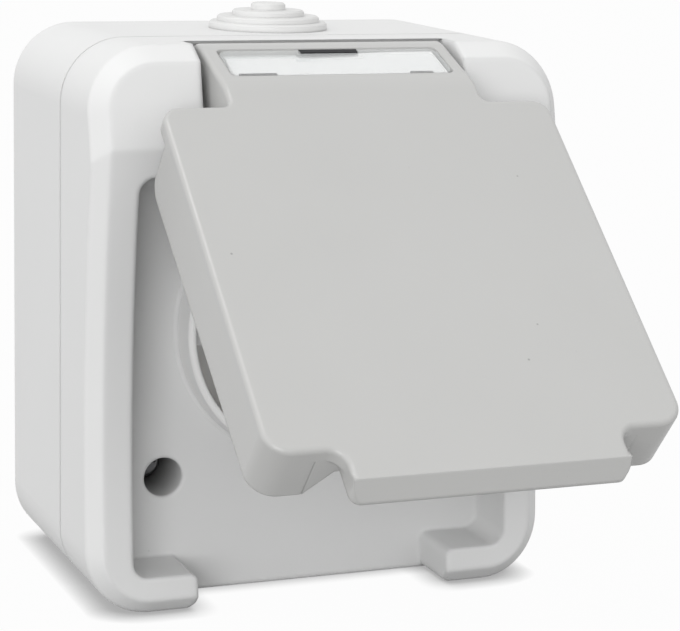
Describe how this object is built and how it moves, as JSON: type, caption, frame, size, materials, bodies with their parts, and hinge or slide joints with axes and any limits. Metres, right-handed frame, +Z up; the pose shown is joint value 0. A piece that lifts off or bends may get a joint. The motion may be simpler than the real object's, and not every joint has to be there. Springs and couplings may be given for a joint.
{
  "type": "outdoor weatherproof socket outlet",
  "caption": "Surface-mounted weatherproof mains socket: rounded wall box, front hood with round plug well, and a hinged skirted lid with a label window.",
  "frame": {"origin": "centre of the flat back face that lies on the wall", "axes": "+Z up, -Y out of the wall towards the user, +X to the right seen from the front"},
  "size_m": [0.075, 0.1051, 0.0897],
  "materials": {
    "box_plastic": "moulded light grey thermoplastic, fine matt",
    "cover_plastic": "moulded light grey thermoplastic, fine matt",
    "lid_plastic": "moulded mid grey thermoplastic, fine matt",
    "insert_plastic": "moulded grey thermoplastic",
    "carrier_plastic": "moulded dark grey thermoset",
    "grommet_rubber": "light grey soft rubber",
    "gasket_rubber": "black soft rubber",
    "window_clear": "clear polished plastic",
    "card_paper": "blank white card",
    "screw_steel": "zinc plated steel",
    "pin_steel": "stainless steel",
    "contact_brass": "sprung brass strip",
    "terminal_brass": "drawn brass"
  },
  "bodies": {
    "housing": {"rear_box": "box_plastic", "box_gasket": "gasket_rubber", "front_cover": "cover_plastic", "cover_screws": "screw_steel", "screw_seals": "gasket_rubber", "top_grommet": "grommet_rubber", "socket_insert": "insert_plastic", "insert_screws": "screw_steel", "contact_carrier": "carrier_plastic", "line_contact": "contact_brass", "neutral_contact": "contact_brass", "earth_clip": "contact_brass", "line_terminal": "terminal_brass", "neutral_terminal": "terminal_brass", "earth_terminal": "terminal_brass", "terminal_screws": "screw_steel"},
    "lid": {"lid_shell": "lid_plastic", "lid_seal": "gasket_rubber", "label_window": "window_clear", "label_card": "card_paper", "hinge_pins": "pin_steel"}
  },
  "joints": [
    {"name": "lid_hinge", "type": "hinge", "parent": "housing", "child": "lid", "pos_m": [0, -0.0394, 0.0376], "axis": [-1, 0, 0], "range_deg": [-51.7, 55]}
  ]
}
